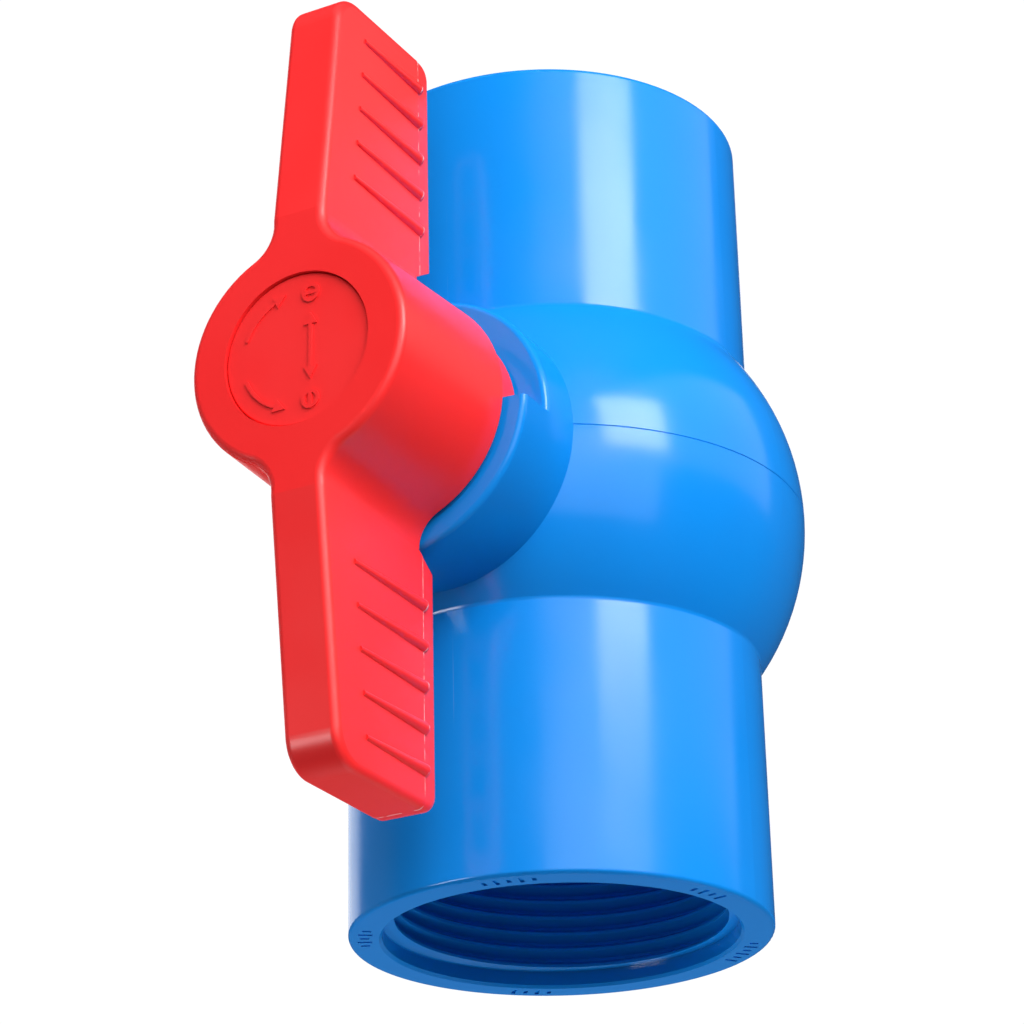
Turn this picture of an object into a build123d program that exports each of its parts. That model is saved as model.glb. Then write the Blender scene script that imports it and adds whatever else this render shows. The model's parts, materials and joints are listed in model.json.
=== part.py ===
"""Threaded plastic ball valve, G 1 1/2, quarter turn, with a two-armed handle.

Frame: the pipe axis is +Z and the lower end face is at z = 0.  The stem points to -Y, and its
axis crosses the pipe axis at the centre of the ball.  All sizes are in millimetres.
"""
from build123d import *

import math
import os

os.makedirs("parts", exist_ok=True)

# ---- body shell --------------------------------------------------------------------------
length = 118.0             # end face to end face
ball_z = length / 2        # height of the ball centre
pipe_r = 28.5              # outside of both sockets
globe_r = 35.7             # outside of the round middle
cavity_r = 28.2            # spherical chamber round the ball
globe_fillet = 0.8         # where the globe runs into the sockets
end_fillet = 0.6           # rounded outer edge of the end faces
seam_chamfer = 0.1         # witness line where the two halves are welded
tongue_r = (30.6, 33.2)    # weld tongue of the lower half
tongue_h = 3.5
weld_gap = 0.1             # play of the tongue in its groove

# ---- port thread: G 1 1/2, eleven turns to the inch --------------------------------------
pitch = 25.4 / 11
thread_major_r = 47.803 / 2
thread_depth = 1.479
thread_minor_r = thread_major_r - thread_depth
thread_flat = 0.385        # flat at root and crest
flank_slope = math.tan(math.radians(27.5))
groove_reach = 1.75        # how far the cutter stands in from the root, past the crest
mouth_r = 24.0             # plain counterbore ahead of the thread
mouth_h = 2.3
thread_start_z = 0.8       # centre of the groove where its winding starts
mouth_chamfer = 0.4
thread_end_z = 22.5
relief_end_z = 24.5
flow_r = 19.5              # bore of the pipe stop and of the seat carriers

# ---- tally marks engraved in the end faces -----------------------------------------------
tally_r = 26.3             # middle of the end ring
tally_groups = ((-84, 5), (-22, 4), (38, 6), (122, 4), (205, 5))   # first angle, bars
tally_step_deg = 3.6
tally_bar = (1.9, 1.2)     # lengths of the bars, in turn
tally_w = 0.55
tally_depth = 0.25

# ---- ball, seats and their carriers (h = distance from the ball centre along the pipe) ----
ball_r = 27.0
ball_bore_r = 19.0
ball_rim_fillet = 0.8
slot_x = 20.0              # slot for the stem's tang, across the flow when open
slot_z = 8.2
slot_corner_r = 1.5
slot_floor = 21.5          # from the pipe axis
seat_gap = 0.15            # between ball and seat face
seat_r = (19.6, 23.0)
seat_back_h = 20.6
carrier_r = 24.5
carrier_bore_r = 24.6
carrier_front_h = 14.5
carrier_back_h = 30.95
carrier_shoulder_h = 31.0  # pipe stop's inner face in the body
seat_pocket_r = 23.05
backing_groove = (20.6, 22.7, 20.65, 22.6)   # inner r, outer r, near h, far h
backing_ring = (21.65, 21.62, 0.95)          # centre r, centre h, section radius
carrier_groove = (22.4, 26.0, 29.0)          # floor r, near h, far h
carrier_ring = (23.5, 27.5, 1.05)

# ---- stem and collar (d = distance from the pipe axis towards the handle) -----------------
collar_r = 19.4
ledge_d = 37.3             # low ring, seen in the notch
wall_d = 43.2              # raised wall round the handle's skirt
wall_inner_r = 15.6
collar_fillet = 0.8
neck_r = 11.4
neck_d = 42.4
neck_chamfer = 0.5
spigot_r = 13.95
spigot_d = 28.4
spigot_hole_r = 14.0
bore_r = 6.55
flange_pocket_r = 9.9
flange_pocket_d = 31.3
notch_deg = (-3.0, 112.0)  # free arc for the stop tab, from +X towards +Z
tab_deg = (87.5, 111.5)

stem_r = 6.5
tang_x = 16.0
tang_z = 8.0
tang_d = 21.9
tang_corner_r = 1.2
flange_r = 9.5
flange_d = (28.0, 30.2)
washer_r = (6.6, 9.6)
washer_d = (30.25, 31.25)
ring_groove_r = 4.7
ring_grooves_d = ((33.2, 35.4), (37.8, 40.0))
stem_ring_section = 0.9
square = 9.0
square_d = (44.3, 57.5)
square_chamfer = 0.5
screw_hole_d = 43.5
screw_hole_clear = 0.05

# ---- handle --------------------------------------------------------------------------------
face_d = 67.2              # front of the hub
hub_floor_d = 44.0         # underside of hub and arm roots
parting_d = 43.0           # mould parting line of the arms
back_d = 39.6              # back edge of the arms
hub_r = (16.6, 15.6)       # at the underside and at the front
arm_w = (7.7, 7.9, 8.05, 7.75)  # back edge, parting line from behind and from the front, front
arm_reach = 54.0           # stem axis to arm tip
slope_start = 19.3
tip_d = 62.9              # front of the arm at its tip
shoulder = (19.7, 22.3)    # where the arms step back past the collar
blend_r = 5.0              # between arms and hub
tip_fillet = (5.0, 2.5)    # front and back corner of the tip
edge_fillet = 1.1
skirt_r = (12.6, 15.2)
skirt_d = 38.0
boss_r = 9.4
core_top_d = 60.5          # top of the ring-shaped core round the boss
web = 1.8
socket_clear = 0.1
overlap = 0.5              # how far the skirt and tab run into the hub they join
seat_floor_d = 58.5        # floor under the screw's washer
screw_pocket_r = 8.0
tab_r = 18.9
rib_count = 5
rib_pitch = 5.5
rib_first = 27.0           # stem axis to the nearest rib
rib_r = (0.85, 0.35)       # thick end at the parting line, thin end at the front
rib_axis_x = 3.88
rib_margin = 6.6           # from the arm's front to the thin end
core_w = 3.4               # cores in the back of the arms
core_corner_r = 0.6
core_top = 59.5
core_z = (23.6, 51.4)
core_count = 4
core_web = 1.6

# ---- cap, screw and washer -------------------------------------------------------------------
cap_r = 10.42
cap_seat_r = 10.5
cap_seat_d = 65.6
cap_d = (65.65, 66.8)
snap_r = (7.0, 7.95)
snap_d = 62.6
cap_chamfer = 0.2
mark_h = 0.2               # raised marks
mark_w = 0.5
mark_arc_r = 7.9
mark_x = 2.0
mark_z = 7.4
mark_ring_r = 1.3
mark_flow_l = 7.0
mark_head = 1.9            # side of an arrowhead
mark_head_base = 1.7       # base of a curved arrow's head
screw_washer_r = (2.6, 7.2)
screw_washer_t = 1.0
screw_head_r = 4.0
screw_head_h = 2.8
screw_shank_r = 2.0
screw_length = 14.0
screw_crown_r = 1.2
screw_point = 0.8
cross_slot = (4.2, 1.0, 1.6)   # length, width, depth

# ---- planes and axes -----------------------------------------------------------------------
centre = (0, 0, ball_z)
stem_axis = Axis(centre, (0, -1, 0))
# x = radius, y = distance from the pipe axis: half sections of everything round the stem
stem_section = Plane(origin=centre, x_dir=(1, 0, 0), z_dir=(0, 0, -1))
# x = +Z, y = distance from the pipe axis: side view of the handle
side_view = Plane(origin=centre, x_dir=(0, 0, 1), z_dir=(1, 0, 0))


def front_view(d):
    """Plane across the stem at distance d, seen from the handle: x = +X, y = +Z."""
    return Plane(origin=(0, -d, ball_z), x_dir=(1, 0, 0), z_dir=(0, -1, 0))


def height_on_sphere(r, at):
    """Distance along the axis to a sphere of radius r, where the distance from the axis is at."""
    return math.sqrt(r * r - at * at)


def write(builder, name):
    """Labels one finished piece and writes its STEP file."""
    builder.part.label = name
    export_step(builder.part, f"parts/{name}.step")


def sector(r, start_deg, end_deg):
    """Outline of a pie slice that reaches at least to radius r, in steps of at most 45 degrees."""
    steps = math.ceil((end_deg - start_deg) / 45)
    reach = r / math.cos(math.radians(22.5))
    angles = [math.radians(start_deg + (end_deg - start_deg) * i / steps) for i in range(steps + 1)]
    return [(0, 0)] + [(reach * math.cos(a), reach * math.sin(a)) for a in angles]


# ---- body halves ---------------------------------------------------------------------------
def end_marks(side):
    """Engraved tally marks on an end face: groups of short bars, evenly tilted round the ring."""
    z = ball_z + side * ball_z
    for start_deg, bars in tally_groups:
        for i in range(bars):
            with BuildSketch(Plane.XY.offset(z)) as bar:
                with PolarLocations(tally_r, 1, start_angle=start_deg + tally_step_deg * i):
                    Rectangle(tally_bar[(i + 1) % 2], tally_w)
            extrude(bar.sketch, amount=tally_depth, both=True, mode=Mode.SUBTRACT)


def body_half(side, name):
    """One moulded half of the body.  side is -1 for the lower half and +1 for the upper."""
    def at(r, h):
        return (r, ball_z + side * h)

    stop_h = ball_z - relief_end_z
    neck_h = height_on_sphere(globe_r, pipe_r)
    mid_r = globe_r * math.cos(math.atan2(neck_h, pipe_r) / 2)
    mid_h = globe_r * math.sin(math.atan2(neck_h, pipe_r) / 2)
    cavity_h = height_on_sphere(cavity_r, carrier_bore_r)
    cavity_half = math.atan2(cavity_h, carrier_bore_r) / 2
    with BuildPart() as half:
        with BuildSketch(Plane.XZ) as section:
            with BuildLine():
                ThreePointArc(at(globe_r, 0), at(mid_r, mid_h), at(pipe_r, neck_h))
                Polyline(
                    at(pipe_r, neck_h),
                    at(pipe_r, ball_z),
                    at(mouth_r, ball_z),
                    at(mouth_r, ball_z - mouth_h),
                    at(thread_minor_r, ball_z - mouth_h),
                    at(thread_minor_r, ball_z - thread_end_z),
                    at(mouth_r, ball_z - thread_end_z),
                    at(mouth_r, stop_h),
                    at(flow_r, stop_h),
                    at(flow_r, carrier_shoulder_h),
                    at(carrier_bore_r, carrier_shoulder_h),
                    at(carrier_bore_r, cavity_h),
                )
                ThreePointArc(
                    at(carrier_bore_r, cavity_h),
                    at(cavity_r * math.cos(cavity_half), cavity_r * math.sin(cavity_half)),
                    at(cavity_r, 0),
                )
                Line(at(cavity_r, 0), at(globe_r, 0))
            make_face()
        revolve(section.sketch, axis=Axis.Z)
        circles = half.edges().filter_by(GeomType.CIRCLE)
        neck = circles.filter_by(lambda e: abs(e.radius - pipe_r) < 0.01)
        by_height = neck.sort_by(lambda e: abs(e.center().Z - ball_z))
        fillet(by_height[0], globe_fillet)
        circles = half.edges().filter_by(GeomType.CIRCLE)
        rim = circles.filter_by(lambda e: abs(abs(e.center().Z - ball_z) - ball_z) < 0.01)
        fillet(rim.filter_by(lambda e: abs(e.radius - pipe_r) < 0.01), end_fillet)
        chamfer(rim.filter_by(lambda e: abs(e.radius - mouth_r) < 0.01), mouth_chamfer)
        equator = circles.filter_by(lambda e: abs(e.radius - globe_r) < 0.01)
        chamfer(equator, seam_chamfer)

        # weld joint at the equator: a tongue on the lower half, its groove in the upper half
        reach = tongue_h if side < 0 else tongue_h + weld_gap
        spread = 0 if side < 0 else weld_gap
        with BuildSketch(Plane.XY.offset(ball_z)) as joint:
            Circle(tongue_r[1] + spread)
            Circle(tongue_r[0] - spread, mode=Mode.SUBTRACT)
        extrude(joint.sketch, amount=reach, mode=Mode.ADD if side < 0 else Mode.SUBTRACT)

        # round hole for the collar's spigot
        with BuildSketch(front_view(cavity_r / 2)) as hole:
            Circle(spigot_hole_r)
        extrude(hole.sketch, amount=globe_r, mode=Mode.SUBTRACT)

        # thread: a groove wound from the counterbore to the relief
        root = thread_flat / 2
        wide = root + groove_reach * flank_slope
        rise = relief_end_z - wide - thread_start_z
        start = thread_start_z if side < 0 else length - thread_start_z - rise
        with BuildLine() as helix:
            Helix(pitch, rise, thread_major_r, center=(0, 0, start))
        with BuildSketch(Plane.XZ) as groove:
            with BuildLine():
                Polyline(
                    (thread_major_r, start - root),
                    (thread_major_r, start + root),
                    (thread_major_r - groove_reach, start + wide),
                    (thread_major_r - groove_reach, start - wide),
                    close=True,
                )
            make_face()
        sweep(groove.sketch, path=helix.line, is_frenet=True, mode=Mode.SUBTRACT)
        end_marks(side)
    write(half, name)


body_half(-1, "body_lower")
body_half(1, "body_upper")

# ---- stem collar: welded into the round hole that the two halves leave -----------------------
with BuildPart() as stem_collar:
    foot = height_on_sphere(globe_r, spigot_r)
    rim_foot = height_on_sphere(globe_r, collar_r)
    mid_foot_r = (spigot_r + collar_r) / 2
    with BuildSketch(stem_section) as section:
        with BuildLine():
            Polyline(
                (collar_r, rim_foot),
                (collar_r, ledge_d),
                (neck_r, ledge_d),
                (neck_r, neck_d),
                (bore_r, neck_d),
                (bore_r, flange_pocket_d),
                (flange_pocket_r, flange_pocket_d),
                (flange_pocket_r, spigot_d),
                (spigot_r, spigot_d),
                (spigot_r, foot),
            )
            ThreePointArc(
                (spigot_r, foot),
                (mid_foot_r, height_on_sphere(globe_r, mid_foot_r)),
                (collar_r, rim_foot),
            )
        make_face()
    revolve(section.sketch, axis=stem_axis)
    outer = stem_collar.edges().filter_by(GeomType.CIRCLE)
    outer = outer.filter_by(lambda e: abs(e.radius - collar_r) < 0.01)
    fillet(outer.sort_by(Axis.Y)[0], collar_fillet)
    lip = stem_collar.edges().filter_by(GeomType.CIRCLE)
    lip = lip.filter_by(lambda e: abs(e.center().Y + neck_d) < 0.01)
    chamfer(lip, neck_chamfer)
    with BuildSketch(front_view(ledge_d - 2 * collar_fillet)) as ring:
        Circle(collar_r)
        Circle(wall_inner_r, mode=Mode.SUBTRACT)
        with BuildLine():
            Polyline(*sector(collar_r, *notch_deg), close=True)
        make_face(mode=Mode.SUBTRACT)
    extrude(ring.sketch, amount=wall_d - ledge_d + 2 * collar_fillet)
    top = stem_collar.edges().filter_by(GeomType.CIRCLE)
    top = top.filter_by(lambda e: abs(e.center().Y + wall_d) < 0.01)
    fillet(top.filter_by(lambda e: abs(e.radius - collar_r) < 0.01), collar_fillet)
write(stem_collar, "stem_collar")


# ---- seats, carriers and their rings, one set at each side of the ball -----------------------
def seat_set(side, end):
    """Seat, carrier and two sealing rings.  side is -1 below the ball and +1 above it."""
    def at(r, h):
        return (r, ball_z + side * h)

    face_r = ball_r + seat_gap
    mid = sum(seat_r) / 2
    with BuildPart() as seat:
        with BuildSketch(Plane.XZ) as section:
            with BuildLine():
                Polyline(
                    at(seat_r[0], height_on_sphere(face_r, seat_r[0])),
                    at(seat_r[0], seat_back_h),
                    at(seat_r[1], seat_back_h),
                    at(seat_r[1], height_on_sphere(face_r, seat_r[1])),
                )
                ThreePointArc(
                    at(seat_r[1], height_on_sphere(face_r, seat_r[1])),
                    at(mid, height_on_sphere(face_r, mid)),
                    at(seat_r[0], height_on_sphere(face_r, seat_r[0])),
                )
            make_face()
        revolve(section.sketch, axis=Axis.Z)
    write(seat, f"seat_{end}")

    inner_r, outer_r, near_h, far_h = backing_groove
    floor_r, groove_near_h, groove_far_h = carrier_groove
    with BuildPart() as carrier:
        with BuildSketch(Plane.XZ) as section:
            with BuildLine():
                Polyline(
                    at(carrier_r, carrier_front_h),
                    at(carrier_r, groove_near_h),
                    at(floor_r, groove_near_h),
                    at(floor_r, groove_far_h),
                    at(carrier_r, groove_far_h),
                    at(carrier_r, carrier_back_h),
                    at(flow_r, carrier_back_h),
                    at(flow_r, near_h),
                    at(inner_r, near_h),
                    at(inner_r, far_h),
                    at(outer_r, far_h),
                    at(outer_r, near_h),
                    at(seat_pocket_r, near_h),
                    at(seat_pocket_r, carrier_front_h),
                    close=True,
                )
            make_face()
        revolve(section.sketch, axis=Axis.Z)
    write(carrier, f"seat_carrier_{end}")

    rings = (("seat_backing_ring", backing_ring), ("carrier_ring", carrier_ring))
    for name, (ring_r, h, section_r) in rings:
        with BuildPart() as ring:
            with BuildSketch(Plane.XZ) as section:
                with Locations(at(ring_r, h)):
                    Circle(section_r)
            revolve(section.sketch, axis=Axis.Z)
        write(ring, f"{name}_{end}")


seat_set(-1, "lower")
seat_set(1, "upper")

# ---- ball --------------------------------------------------------------------------------------
with BuildPart() as ball:
    with Locations(centre):
        Sphere(ball_r)
        Cylinder(ball_bore_r, 2 * ball_r, mode=Mode.SUBTRACT)
    rims = ball.edges().filter_by(GeomType.CIRCLE)
    fillet(rims.filter_by(lambda e: abs(e.radius - ball_bore_r) < 0.01), ball_rim_fillet)
    with BuildSketch(front_view(slot_floor)) as slot:
        RectangleRounded(slot_x, slot_z, slot_corner_r)
    extrude(slot.sketch, amount=ball_r, mode=Mode.SUBTRACT)
write(ball, "ball")

# ---- stem, its thrust washer and sealing rings ---------------------------------------------------
with BuildPart() as stem:
    flange = [(0, flange_d[0]), (flange_r, flange_d[0]), (flange_r, flange_d[1])]
    outline = flange + [(stem_r, flange_d[1])]
    for near_d, far_d in ring_grooves_d:
        outline += [(stem_r, near_d), (ring_groove_r, near_d)]
        outline += [(ring_groove_r, far_d), (stem_r, far_d)]
    outline += [(stem_r, square_d[0]), (0, square_d[0])]
    with BuildSketch(stem_section) as section:
        with BuildLine():
            Polyline(*outline, close=True)
        make_face()
    revolve(section.sketch, axis=stem_axis)
    with BuildSketch(front_view(tang_d)) as tang:
        RectangleRounded(tang_x, tang_z, tang_corner_r)
    extrude(tang.sketch, amount=flange_d[0] - tang_d)
    with BuildSketch(front_view(square_d[0])) as drive:
        Rectangle(square, square)
    extrude(drive.sketch, amount=square_d[1] - square_d[0])
    chamfer(stem.faces().sort_by(Axis.Y)[0].edges(), square_chamfer)
    with BuildSketch(front_view(screw_hole_d)) as pilot:
        Circle(screw_shank_r + screw_hole_clear)
    extrude(pilot.sketch, amount=square_d[1] - screw_hole_d, mode=Mode.SUBTRACT)
write(stem, "stem")

with BuildPart() as stem_washer:
    with BuildSketch(front_view(washer_d[0])) as ring:
        Circle(washer_r[1])
        Circle(washer_r[0], mode=Mode.SUBTRACT)
    extrude(ring.sketch, amount=washer_d[1] - washer_d[0])
write(stem_washer, "stem_thrust_washer")

for name, (near_d, far_d) in zip(("stem_ring_inner", "stem_ring_outer"), ring_grooves_d):
    with BuildPart() as ring:
        with BuildSketch(stem_section) as section:
            with Locations((ring_groove_r + stem_ring_section, (near_d + far_d) / 2)):
                Circle(stem_ring_section)
        revolve(section.sketch, axis=stem_axis)
    write(ring, name)

# ---- handle ----------------------------------------------------------------------------------------
def is_arm_root(edge):
    """True for the four long edges where an arm's side meets the hub."""
    reach = abs(edge.center().Z - ball_z)
    return edge.length > 0.9 * (face_d - hub_floor_d) and hub_r[1] - 2 < reach < hub_r[0]


def is_rim(face):
    """True for the faces round the edge of an arm and for the front of the hub."""
    normal = face.normal_at(face.center())
    reach = abs(face.center().Z - ball_z)
    return abs(normal.X) < 0.1 and (normal.Y < -0.3 or reach > arm_reach - 3.0)


def rim_edges(builder, low_d, high_d):
    """Edges round the rim faces of a builder, without the joints between two of them."""
    faces = builder.faces().filter_by(is_rim)
    joints = [e for e in faces.edges() if sum(e in f.edges() for f in faces) > 1]
    sides = [e for e in faces.edges() if e not in joints]
    return [e for e in sides if low_d < -e.center().Y < high_d]


def arm_section(near_d, near_w, far_d, far_w):
    """Corners of an arm's cross-section between two distances from the pipe axis."""
    return [
        (near_w / 2, -near_d),
        (far_w / 2, -far_d),
        (-far_w / 2, -far_d),
        (-near_w / 2, -near_d),
    ]


def round_tips(profile, d, radius):
    """Rounds the corners of a side view at both arm tips."""
    for z in (-arm_reach, arm_reach):
        fillet(profile.vertices().sort_by_distance((z, d, 0))[0], radius)


# the arms are moulded in two plates that meet at the parting line: first the back one
step = (hub_floor_d - parting_d) / (hub_floor_d - back_d)
parting_z = shoulder[0] + step * (shoulder[1] - shoulder[0])
with BuildPart() as arm_backs:
    with BuildSketch(Plane.XY.offset(ball_z - arm_reach - 1)) as blade:
        with BuildLine():
            Polyline(*arm_section(back_d, arm_w[0], parting_d, arm_w[1]), close=True)
        make_face()
    extrude(blade.sketch, amount=2 * arm_reach + 2)
    with BuildSketch(side_view) as profile:
        for sign in (-1, 1):
            with BuildLine():
                Polyline(
                    (sign * parting_z, parting_d),
                    (sign * shoulder[1], back_d),
                    (sign * arm_reach, back_d),
                    (sign * arm_reach, parting_d),
                    close=True,
                )
            make_face()
        round_tips(profile, back_d, tip_fillet[1])
    extrude(profile.sketch, amount=2 * hub_r[0], both=True, mode=Mode.INTERSECT)
    fillet(rim_edges(arm_backs, back_d + 0.1, parting_d - 0.1), edge_fillet)

# grip ribs: slim tapered bars with a round thick end, on both sides of both arms
slope = (face_d - tip_d) / (arm_reach - slope_start)
with BuildPart() as ribs:
    for i in range(rib_count):
        reach = rib_first + rib_pitch * i
        rib_front = face_d - (reach - slope_start) * slope - rib_margin
        for x in (-rib_axis_x, rib_axis_x):
            for z in (ball_z - reach, ball_z + reach):
                with BuildSketch(Plane(origin=(x, 0, z), x_dir=(1, 0, 0), z_dir=(0, 0, -1))) as bar:
                    with BuildLine():
                        RadiusArc((0, parting_d - rib_r[0]), (rib_r[0], parting_d), -rib_r[0])
                        Polyline(
                            (rib_r[0], parting_d),
                            (rib_r[1], rib_front),
                            (0, rib_front),
                            (0, parting_d - rib_r[0]),
                        )
                    make_face()
                revolve(bar.sketch, axis=Axis((x, 0, z), (0, -1, 0)))

with BuildPart() as handle:
    with BuildSketch(Plane.XY.offset(ball_z - arm_reach - 1)) as blade:
        with BuildLine():
            Polyline(*arm_section(parting_d, arm_w[2], face_d, arm_w[3]), close=True)
        make_face()
    extrude(blade.sketch, amount=2 * arm_reach + 2)
    with BuildSketch(stem_section) as cone:
        hub_side = ((hub_r[0], hub_floor_d), (hub_r[1], face_d))
        with BuildLine():
            Polyline((0, hub_floor_d), *hub_side, (0, face_d), close=True)
        make_face()
    revolve(cone.sketch, axis=stem_axis)
    fillet(handle.edges().filter_by(is_arm_root), blend_r)
    with BuildSketch(side_view) as profile:
        right = [
            (slope_start, face_d),
            (arm_reach, tip_d),
            (arm_reach, parting_d),
            (parting_z, parting_d),
            (shoulder[0], hub_floor_d),
        ]
        left = [(-z, d) for z, d in reversed(right)]
        with BuildLine():
            Polyline(*(right + left), close=True)
        make_face()
        round_tips(profile, tip_d, tip_fillet[0])
    extrude(profile.sketch, amount=2 * hub_r[0], both=True, mode=Mode.INTERSECT)
    fillet(rim_edges(handle, parting_d + 0.1, face_d + 0.1), edge_fillet)
    add(arm_backs.part)

    # skirt under the hub, and the stop tab that swings in the collar's notch
    with BuildSketch(front_view(skirt_d)) as skirt:
        Circle(skirt_r[1])
    extrude(skirt.sketch, amount=hub_floor_d - skirt_d + overlap)
    with BuildSketch(front_view(skirt_d)) as tab:
        Circle(tab_r)
        Circle(skirt_r[0], mode=Mode.SUBTRACT)
        with BuildLine():
            Polyline(*sector(2 * tab_r, *tab_deg), close=True)
        make_face(mode=Mode.INTERSECT)
    extrude(tab.sketch, amount=hub_floor_d - skirt_d + overlap)

    # ring-shaped core between skirt and boss, crossed by four webs
    with BuildSketch(front_view(skirt_d)) as core:
        Circle(skirt_r[0])
        Circle(boss_r, mode=Mode.SUBTRACT)
        for turned in (45, -45):
            Rectangle(3 * skirt_r[0], web, rotation=turned, mode=Mode.SUBTRACT)
    extrude(core.sketch, amount=core_top_d - skirt_d, mode=Mode.SUBTRACT)
    with BuildSketch(front_view(skirt_d)) as neck_room:
        Circle(skirt_r[0])
    extrude(neck_room.sketch, amount=square_d[0] + socket_clear - skirt_d, mode=Mode.SUBTRACT)

    # square socket, pocket for the screw head and seat of the cap
    with BuildSketch(front_view(square_d[0])) as socket:
        Rectangle(square + 2 * socket_clear, square + 2 * socket_clear)
    extrude(socket.sketch, amount=seat_floor_d - square_d[0], mode=Mode.SUBTRACT)
    for r, floor_d in ((screw_pocket_r, seat_floor_d), (cap_seat_r, cap_seat_d)):
        with BuildSketch(front_view(floor_d)) as pocket:
            Circle(r)
        extrude(pocket.sketch, amount=face_d + 1 - floor_d, mode=Mode.SUBTRACT)

    # cores in the back of the arms
    core_pitch = (core_z[1] - core_z[0] + core_web) / core_count
    core_l = core_pitch - core_web
    with BuildSketch(front_view(back_d)) as arm_cores:
        for i in range(core_count):
            z = core_z[0] + core_l / 2 + core_pitch * i
            with Locations((0, z), (0, -z)):
                RectangleRounded(core_w, core_l, core_corner_r)
    extrude(arm_cores.sketch, amount=core_top - back_d, mode=Mode.SUBTRACT)

    add(ribs.part)
write(handle, "handle")

# ---- cap with its handle marks -----------------------------------------------------------------------
turns = ((-1, 158, 116), (1, 202, 244))   # turning sense, first and last angle of each arrow
shafts = [CenterArc((0, 0), mark_arc_r, first, last - first) for turn, first, last in turns]
with BuildPart() as cap:
    with BuildSketch(front_view(cap_d[0])) as disc:
        Circle(cap_r)
    extrude(disc.sketch, amount=cap_d[1] - cap_d[0])
    rim = cap.edges().filter_by(lambda e: abs(e.center().Y + cap_d[1]) < 0.01)
    chamfer(rim, cap_chamfer)
    with BuildSketch(front_view(snap_d)) as snap:
        Circle(snap_r[1])
        Circle(snap_r[0], mode=Mode.SUBTRACT)
    extrude(snap.sketch, amount=cap_d[0] - snap_d)

    # curved arrows: clockwise to a bar across the pipe (shut), back to a bar along it (open);
    # between them a straight double arrow along the flow
    with BuildSketch(front_view(cap_d[1])) as marks:
        for shaft, (turn, first_deg, last_deg) in zip(shafts, turns):
            SlotArc(shaft, mark_w)
            head = math.radians(last_deg + 6 * turn)
            with Locations((mark_arc_r * math.cos(head), mark_arc_r * math.sin(head))):
                turned = last_deg + (0 if turn > 0 else 180)
                Triangle(a=mark_head_base, b=mark_head, c=mark_head, rotation=turned)
        for z_sign, turned in ((1, 0), (-1, 90)):
            with Locations((mark_x, z_sign * mark_z)):
                Circle(mark_ring_r)
                Circle(mark_ring_r - mark_w, mode=Mode.SUBTRACT)
                Rectangle(2 * mark_ring_r, mark_w, rotation=turned)
        with Locations((mark_x, 0)):
            Rectangle(mark_w, mark_flow_l)
        for z_sign in (-1, 1):
            with Locations((mark_x, z_sign * mark_flow_l / 2)):
                Triangle(a=mark_head, b=mark_head, c=mark_head, rotation=0 if z_sign > 0 else 180)
    extrude(marks.sketch, amount=mark_h)
write(cap, "handle_cap")

# ---- screw that holds the handle on the stem, and its washer --------------------------------------------
with BuildPart() as screw_washer:
    with BuildSketch(front_view(seat_floor_d)) as ring:
        Circle(screw_washer_r[1])
        Circle(screw_washer_r[0], mode=Mode.SUBTRACT)
    extrude(ring.sketch, amount=screw_washer_t)
write(screw_washer, "handle_screw_washer")

with BuildPart() as screw:
    head_d = seat_floor_d + screw_washer_t
    with BuildSketch(front_view(head_d)) as head:
        Circle(screw_head_r)
    extrude(head.sketch, amount=screw_head_h)
    crown = screw.edges().filter_by(lambda e: abs(e.center().Y + head_d + screw_head_h) < 0.01)
    fillet(crown, screw_crown_r)
    with BuildSketch(front_view(head_d)) as shank:
        Circle(screw_shank_r)
    extrude(shank.sketch, amount=-screw_length)
    point = screw.edges().filter_by(lambda e: abs(e.center().Y + head_d - screw_length) < 0.01)
    chamfer(point, screw_point)
    with BuildSketch(front_view(head_d + screw_head_h)) as cross:
        Rectangle(cross_slot[0], cross_slot[1])
        Rectangle(cross_slot[1], cross_slot[0])
    extrude(cross.sketch, amount=-cross_slot[2], mode=Mode.SUBTRACT)
write(screw, "handle_screw")
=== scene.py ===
"""Looks of the plastic ball valve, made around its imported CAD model.

The frame is the model's own, in metres: the pipe axis is +Z, the lower end face is at z = 0, and the
stem and handle point to -Y.  Every visible part is a CAD node.  This script gives each one its
material, and adds the floor, the lights and the camera.
"""
import json
import math

import bpy
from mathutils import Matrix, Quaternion, Vector


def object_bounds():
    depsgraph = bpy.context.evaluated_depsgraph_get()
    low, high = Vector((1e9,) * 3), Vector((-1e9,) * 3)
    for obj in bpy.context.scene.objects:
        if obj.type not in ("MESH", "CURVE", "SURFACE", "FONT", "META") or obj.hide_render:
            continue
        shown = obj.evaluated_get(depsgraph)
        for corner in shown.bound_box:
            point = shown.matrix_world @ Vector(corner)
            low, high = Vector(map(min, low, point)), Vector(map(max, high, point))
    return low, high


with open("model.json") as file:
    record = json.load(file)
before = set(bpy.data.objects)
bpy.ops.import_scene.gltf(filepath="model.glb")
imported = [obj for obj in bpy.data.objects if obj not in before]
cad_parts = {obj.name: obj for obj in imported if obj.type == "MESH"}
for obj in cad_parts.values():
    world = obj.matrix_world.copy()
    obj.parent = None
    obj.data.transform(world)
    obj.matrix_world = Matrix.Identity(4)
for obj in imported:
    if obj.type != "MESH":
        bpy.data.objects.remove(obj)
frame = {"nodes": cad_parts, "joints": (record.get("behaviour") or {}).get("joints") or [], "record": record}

cad_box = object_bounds()

# ---- places that the CAD model gives ---------------------------------------------------------
low, high = cad_box
middle = Vector((0, 0, (low.z + high.z) / 2))
stem_turn = frame["joints"][0]
ball_z = stem_turn["pos_m"][2]

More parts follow.
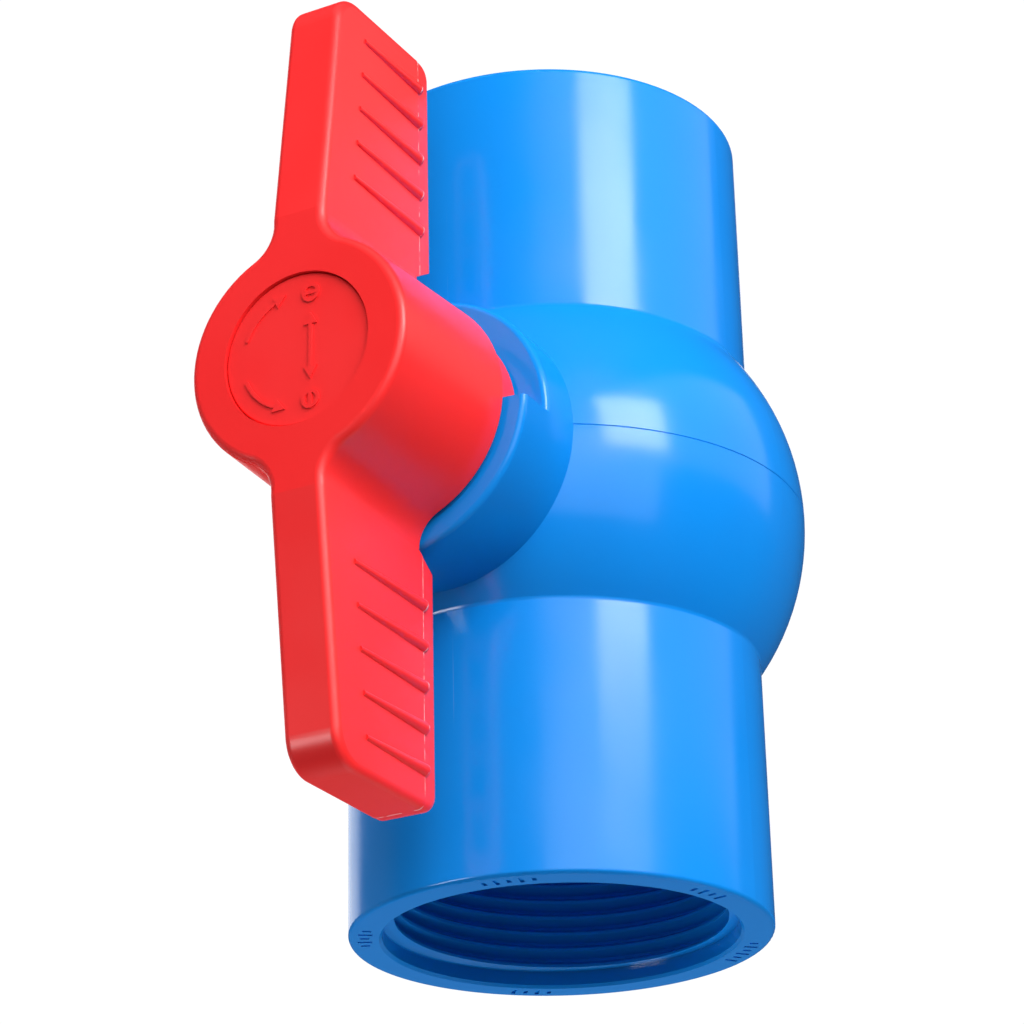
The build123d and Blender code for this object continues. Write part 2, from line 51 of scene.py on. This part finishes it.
# ---- driving values --------------------------------------------------------------------------
mm = 0.001
parting_y = -43 * mm           # mould parting line of the handle's arms
parting_from = 19.4 * mm       # the arms' line starts this far from the stem axis
light_distance = 1.1           # from the middle of the valve to a light
key_distance = 0.45            # the same for the key light and the card beside it
floor_size = 6.0
floor_drop = 0.05 * mm         # gap between the lower end face and the floor
floor_fade_start = 0.15        # distances from the pipe axis where the floor starts to fade,
floor_fade_end = 0.60          # and where it is gone
room_fill = 0.22               # strength of the white surroundings as light on the surfaces,
room_gloss = 0.035             # in their reflections,
room_seen = 1.05               # and as seen behind the valve
camera_place = Vector((193.3, -370.9, -125.3)) * mm
camera_aim = Vector((1.1, -13.4, 57.0)) * mm
camera_roll = math.radians(-1.29)
camera_lens = 114.0


# ---- node helpers ----------------------------------------------------------------------------
class Tree:
    """Builds the node tree of one material."""

    def __init__(self, name):
        self.material = bpy.data.materials.new(name)
        self.material.use_nodes = True
        self.nodes = self.material.node_tree.nodes
        self.nodes.clear()
        self.output = self.add("ShaderNodeOutputMaterial")
        self.place = self.add("ShaderNodeTexCoord").outputs["Object"]

    def add(self, kind, **values):
        node = self.nodes.new(kind)
        for name, value in values.items():
            setattr(node, name, value)
        return node

    def link(self, source, target):
        """Joins a socket to an input, or sets the input where the source is a plain value."""
        if isinstance(source, bpy.types.NodeSocket):
            self.material.node_tree.links.new(source, target)
        else:
            target.default_value = source

    def maths(self, operation, a, b=0.0, clamp=False):
        node = self.add("ShaderNodeMath", operation=operation, use_clamp=clamp)
        self.link(a, node.inputs[0])
        self.link(b, node.inputs[1])
        return node.outputs[0]

    def remap(self, value, from_low, from_high, to_low=0.0, to_high=1.0):
        """Smooth step from one range of values to another."""
        node = self.add("ShaderNodeMapRange", interpolation_type="SMOOTHSTEP")
        for socket, number in zip(node.inputs, (value, from_low, from_high, to_low, to_high)):
            self.link(number, socket)
        return node.outputs["Result"]

    def stretched(self, scale):
        """Place on the part, scaled per axis: a scale under 1 draws a pattern out along it."""
        node = self.add("ShaderNodeMapping")
        self.link(self.place, node.inputs["Vector"])
        node.inputs["Scale"].default_value = scale
        return node.outputs["Vector"]

    def noise(self, scale, detail=2.0, where=None, distortion=0.0):
        node = self.add("ShaderNodeTexNoise")
        self.link(where or self.place, node.inputs["Vector"])
        node.inputs["Scale"].default_value = scale
        node.inputs["Detail"].default_value = detail
        node.inputs["Distortion"].default_value = distortion
        return node.outputs["Fac"]

    def specks(self, scale, size, share, seed):
        """Mask of small round specks: one in each chosen cell of a random pattern.

        size is a speck's radius in cells, and share is how much of the cells has one.
        """
        shift = self.add("ShaderNodeVectorMath", operation="ADD")
        self.link(self.place, shift.inputs[0])
        shift.inputs[1].default_value = (seed, 0.7 * seed, 0.3 * seed)
        cells = self.add("ShaderNodeTexVoronoi")
        self.link(shift.outputs[0], cells.inputs["Vector"])
        cells.inputs["Scale"].default_value = scale
        chosen = self.add("ShaderNodeSeparateColor")
        self.link(cells.outputs["Color"], chosen.inputs[0])
        keep = self.maths("LESS_THAN", chosen.outputs[0], share)
        dot = self.remap(cells.outputs["Distance"], size, size * 0.4)
        return self.maths("MULTIPLY", dot, keep)

    def mix(self, factor, a, b):
        node = self.add("ShaderNodeMix", data_type="RGBA")
        self.link(factor, node.inputs[0])
        self.link(a, node.inputs[6])
        self.link(b, node.inputs[7])
        return node.outputs[2]

    def bump(self, height, depth, normal=None):
        """Relief as deep as depth where height is 1, on top of another relief if there is one."""
        node = self.add("ShaderNodeBump")
        node.inputs["Distance"].default_value = depth
        self.link(height, node.inputs["Height"])
        if normal:
            self.link(normal, node.inputs["Normal"])
        return node.outputs["Normal"]

    def coordinate(self, axis):
        node = self.add("ShaderNodeSeparateXYZ")
        self.link(self.place, node.inputs[0])
        return node.outputs[axis]

    def away(self, value, centre):
        """Distance of a value from a centre, without its sign."""
        return self.maths("ABSOLUTE", self.maths("SUBTRACT", value, centre))

    def surface(self, colour, roughness, normal, **fixed):
        """Principled surface.  Each fixed value is uniform and named after its socket."""
        shader = self.add("ShaderNodeBsdfPrincipled")
        self.link(colour, shader.inputs["Base Color"])
        self.link(roughness, shader.inputs["Roughness"])
        self.link(normal, shader.inputs["Normal"])
        for name, value in fixed.items():
            shader.inputs[name].default_value = value
        self.link(shader.outputs[0], self.output.inputs["Surface"])
        return self.material


def rgb(red, green, blue):
    return (red, green, blue, 1.0)


# ---- materials -------------------------------------------------------------------------------
def moulded(name, colour, shade, gloss, line=None, mottle=22.0, speck_share=0.10):
    """Injection-moulded plastic: faint mottling, orange peel, flow marks, fine grain and dust.

    gloss is the lowest and highest roughness.  line(tree) gives a mask of the mould's parting line, drawn as
    a bump and a painted highlight.
    """
    tree = Tree(name)
    clouds = tree.noise(mottle, 3.0, distortion=0.4)
    streaks = tree.noise(60.0, 2.0, where=tree.stretched((1.0, 1.0, 0.15)))
    tone = tree.maths("ADD", tree.maths("MULTIPLY", clouds, 0.65),
                      tree.maths("MULTIPLY", streaks, 0.35))
    tint = tree.mix(tree.remap(tone, 0.35, 0.65), rgb(*colour), rgb(*shade))
    pale = tree.specks(230.0, 0.032, speck_share, 1.7)
    dark = tree.specks(170.0, 0.026, speck_share * 0.6, 4.1)
    # Paler colour: for the random dust specks, and as the painted highlight of the parting line.
    lint_and_line_highlight = tuple(0.55 + 0.45 * c for c in colour)
    tint = tree.mix(tree.maths("MULTIPLY", pale, 0.55), tint, rgb(*lint_and_line_highlight))
    tint = tree.mix(tree.maths("MULTIPLY", dark, 0.6), tint, rgb(*(0.25 * c for c in colour)))

    peel = tree.noise(420.0, 2.0)
    grain = tree.noise(3200.0, 1.0)
    waves = tree.noise(38.0, 1.0)
    rough = tree.remap(tree.noise(75.0, 4.0), 0.3, 0.7, *gloss)
    rough = tree.maths("ADD", rough, tree.maths("MULTIPLY", pale, 0.3), clamp=True)
    normal = tree.bump(waves, 0.03 * mm)
    normal = tree.bump(peel, 0.006 * mm, normal=normal)
    normal = tree.bump(grain, 0.0012 * mm, normal=normal)
    normal = tree.bump(pale, 0.03 * mm, normal=normal)
    # Parting line: a real bump, plus a paler tint that is a painted highlight along it.
    if line:
        seam_and_highlight = line(tree)
        tint = tree.mix(tree.maths("MULTIPLY", seam_and_highlight, 0.7), tint, rgb(*lint_and_line_highlight))
        normal = tree.bump(seam_and_highlight, 0.05 * mm, normal=normal)
    return tree.surface(tint, rough, normal, IOR=1.5)


def arm_line_and_highlight(tree):
    """Broken hairline where the handle's mould halves met, along both arms; its paler tint is a painted
    highlight.
    """
    across = tree.remap(tree.away(tree.coordinate("Y"), parting_y), 0.16 * mm, 0.06 * mm)
    on_arms = tree.maths("GREATER_THAN", tree.away(tree.coordinate("Z"), ball_z), parting_from)
    broken = tree.remap(tree.noise(900.0, 3.0), 0.42, 0.58)
    return tree.maths("MULTIPLY", tree.maths("MULTIPLY", across, on_arms), broken)


def body_line_and_highlight(tree):
    """Fine mould line on the front and back of the globe and necks, in the plane of the stem; its pale tint
    is a faint painted highlight.
    """
    across = tree.remap(tree.away(tree.coordinate("X"), 0.0), 0.08 * mm, 0.02 * mm)
    near = tree.remap(tree.away(tree.coordinate("Z"), ball_z), 40 * mm, 31 * mm)
    broken = tree.remap(tree.noise(60.0, 3.0), 0.45, 0.75, 0.0, 0.2)
    return tree.maths("MULTIPLY", tree.maths("MULTIPLY", across, near), broken)


def turned(name, colour, shade, gloss, ring_pitch, ring_depth):
    """Turned plastic, with fine rings round the pipe axis."""
    tree = Tree(name)
    tint = tree.mix(tree.remap(tree.noise(90.0, 4.0), 0.35, 0.65), rgb(*colour), rgb(*shade))
    turn = tree.maths("SINE", tree.maths("MULTIPLY", tree.coordinate("Z"), math.tau / ring_pitch))
    rough = tree.remap(tree.noise(160.0, 3.0), 0.3, 0.7, *gloss)
    normal = tree.bump(turn, ring_depth)
    normal = tree.bump(tree.noise(2400.0, 1.0), 0.002 * mm, normal=normal)
    return tree.surface(tint, rough, normal, IOR=1.45)


def rubber(name):
    tree = Tree(name)
    bloom = tree.remap(tree.noise(140.0, 5.0), 0.45, 0.75)
    tint = tree.mix(bloom, rgb(0.012, 0.012, 0.013), rgb(0.05, 0.05, 0.052))
    rough = tree.remap(tree.noise(300.0, 3.0), 0.3, 0.7, 0.42, 0.62)
    normal = tree.bump(tree.noise(2600.0, 3.0), 0.006 * mm)
    return tree.surface(tint, rough, normal, IOR=1.52)


def plated_steel(name):
    tree = Tree(name)
    brushed = tree.noise(900.0, 4.0, where=tree.stretched((1.0, 0.08, 1.0)))
    stain = tree.remap(tree.noise(130.0, 4.0), 0.4, 0.7)
    tint = tree.mix(stain, rgb(0.62, 0.62, 0.61), rgb(0.50, 0.50, 0.48))
    rough = tree.remap(brushed, 0.3, 0.7, 0.29, 0.40)
    normal = tree.bump(brushed, 0.004 * mm)
    return tree.surface(tint, rough, normal, Metallic=1.0)


blue = (0.003, 0.222, 0.70)
blue_shade = (0.003, 0.208, 0.67)
red = (0.87, 0.022, 0.024)
red_shade = (0.84, 0.019, 0.020)
finishes = {
    "body_blue": moulded("body_blue", blue, blue_shade, (0.15, 0.22), line=body_line_and_highlight),
    "carrier_blue": moulded("carrier_blue", (0.004, 0.19, 0.66), (0.003, 0.17, 0.62), (0.29, 0.36)),
    "handle_red": moulded("handle_red", red, red_shade, (0.29, 0.36), line=arm_line_and_highlight, mottle=30.0),
    "cap_red": moulded("cap_red", red, red_shade, (0.30, 0.42), mottle=40.0, speck_share=0.16),
    "ball_white": turned("ball_white", (0.80, 0.81, 0.82), (0.76, 0.77, 0.79), (0.08, 0.16),
                         ring_pitch=0.35 * mm, ring_depth=0.002 * mm),
    "stem_grey": moulded("stem_grey", (0.52, 0.54, 0.56), (0.48, 0.50, 0.52), (0.28, 0.40)),
    "seat_white": turned("seat_white", (0.86, 0.86, 0.83), (0.80, 0.80, 0.77), (0.45, 0.60),
                         ring_pitch=0.20 * mm, ring_depth=0.004 * mm),
    "seal_rubber": rubber("seal_rubber"),
    "screw_steel": plated_steel("screw_steel"),
}


def dress(node, finish):
    """Gives a CAD node its finish and smooth shading.  Its shape stays as it is."""
    mesh = frame["nodes"][node].data
    mesh.materials.clear()
    mesh.materials.append(finish)
    mesh.polygons.foreach_set("use_smooth", [True] * len(mesh.polygons))


for part in frame["record"]["subparts"]:
    dress(part["node"], finishes[part["material_slot"]])


# ---- floor -----------------------------------------------------------------------------------
def make_floor():
    """Pale floor under the lower end face, fading into the white surroundings.

    It is one-sided, so the valve is also seen from below.
    """
    bpy.ops.mesh.primitive_plane_add(size=floor_size, location=(0, 0, low.z - floor_drop))
    floor = bpy.context.object
    floor.name = "floor"
    tree = Tree("floor_pale")
    shade = tree.mix(tree.noise(3.0, 2.0), rgb(0.90, 0.90, 0.90), rgb(0.93, 0.93, 0.93))
    pale = tree.add("ShaderNodeBsdfDiffuse")
    tree.link(shade, pale.inputs["Color"])
    clear = tree.add("ShaderNodeBsdfTransparent")
    distance = tree.add("ShaderNodeVectorMath", operation="LENGTH")
    tree.link(tree.place, distance.inputs[0])
    near = tree.remap(distance.outputs["Value"], floor_fade_end, floor_fade_start)
    side = tree.add("ShaderNodeNewGeometry").outputs["Backfacing"]
    seen = tree.add("ShaderNodeLightPath").outputs["Is Camera Ray"]
    solid = tree.maths("MULTIPLY", seen, tree.maths("SUBTRACT", near, side, clamp=True))
    mixed = tree.add("ShaderNodeMixShader")
    tree.link(solid, mixed.inputs[0])
    tree.link(clear.outputs[0], mixed.inputs[1])
    tree.link(pale.outputs[0], mixed.inputs[2])
    tree.link(mixed.outputs[0], tree.output.inputs["Surface"])
    floor.data.materials.append(tree.material)


make_floor()


# ---- light -----------------------------------------------------------------------------------
def softbox(name, azimuth, elevation, width, height, radiance,
            distance=light_distance, gloss=True, fill=True):
    """Area light round the valve, aimed at its middle.

    Its place and its size are angles in degrees as seen from there.  Azimuth 0 is in front of the
    handle, and 90 is at +X.  gloss says whether it shows as a reflection, and fill whether it lights
    the surfaces themselves.  A card only reflects, and a fill only lights.
    """
    a, e = math.radians(azimuth), math.radians(elevation)
    toward = Vector((math.sin(a) * math.cos(e), -math.cos(a) * math.cos(e), math.sin(e)))
    light = bpy.data.lights.new(name, "AREA")
    light.shape = "RECTANGLE"
    light.size = 2 * distance * math.tan(math.radians(width) / 2)
    light.size_y = 2 * distance * math.tan(math.radians(height) / 2)
    light.energy = radiance * math.pi * light.size * light.size_y
    lamp = bpy.data.objects.new(name, light)
    lamp.location = middle + toward * distance
    lamp.rotation_mode = "QUATERNION"
    lamp.rotation_quaternion = toward.to_track_quat("Z", "Y")
    lamp.visible_glossy = gloss
    lamp.visible_diffuse = fill
    bpy.context.scene.collection.objects.link(lamp)


softbox("key", 65, 27, 26, 21, 8.8, distance=key_distance)
softbox("key_fill", 50, 32, 40, 34, 5.6, gloss=False)
softbox("wide_card", 48, 3, 55, 35, 1.1, fill=False)
softbox("wide_fill", 48, 10, 64, 31, 2.7, gloss=False)
softbox("front_card", -31, -14, 20, 14, 10.0, fill=False)
softbox("right_card", 105, 31, 64, 36, 0.7, distance=key_distance, fill=False)
softbox("top_fill", 10, 75, 60, 50, 1.5, gloss=False)
softbox("left_fill", -100, 0, 50, 60, 3.2, gloss=False)
softbox("left_card", -135, 30, 50, 34, 1.2, fill=False)
softbox("back_fill", 175, 20, 60, 60, 0.9, gloss=False)
softbox("low_back_fill", 190, -60, 50, 40, 3.6, gloss=False)
softbox("low_back_card", 205, -26, 60, 44, 0.06, fill=False)


def make_world():
    """Plain white behind the valve, grey surroundings that light it, and darker ones in its gloss."""
    world = bpy.data.worlds.new("studio")
    bpy.context.scene.world = world
    world.use_nodes = True
    nodes, links = world.node_tree.nodes, world.node_tree.links
    nodes.clear()

    def room(strength):
        node = nodes.new("ShaderNodeBackground")
        node.inputs["Color"].default_value = (0.97, 0.985, 1.0, 1.0)
        node.inputs["Strength"].default_value = strength
        return node.outputs[0]

    ray = nodes.new("ShaderNodeLightPath").outputs
    shade = room(room_fill)
    for kind, strength in (("Is Glossy Ray", room_gloss), ("Is Camera Ray", room_seen)):
        mixed = nodes.new("ShaderNodeMixShader")
        links.new(ray[kind], mixed.inputs[0])
        links.new(shade, mixed.inputs[1])
        links.new(room(strength), mixed.inputs[2])
        shade = mixed.outputs[0]
    links.new(shade, nodes.new("ShaderNodeOutputWorld").inputs["Surface"])


make_world()
bpy.context.scene.view_settings.view_transform = "Standard"


# ---- camera ----------------------------------------------------------------------------------
def make_camera():
    camera = bpy.data.objects.new("camera", bpy.data.cameras.new("camera"))
    bpy.context.scene.collection.objects.link(camera)
    camera.data.sensor_width = 36.0
    camera.data.lens = camera_lens
    camera.data.clip_start = 0.01
    camera.location = camera_place
    camera.rotation_mode = "QUATERNION"
    aim = (camera_aim - camera_place).to_track_quat("-Z", "Y")
    camera.rotation_quaternion = aim @ Quaternion((0, 0, 1), camera_roll)
    bpy.context.scene.camera = camera


make_camera()
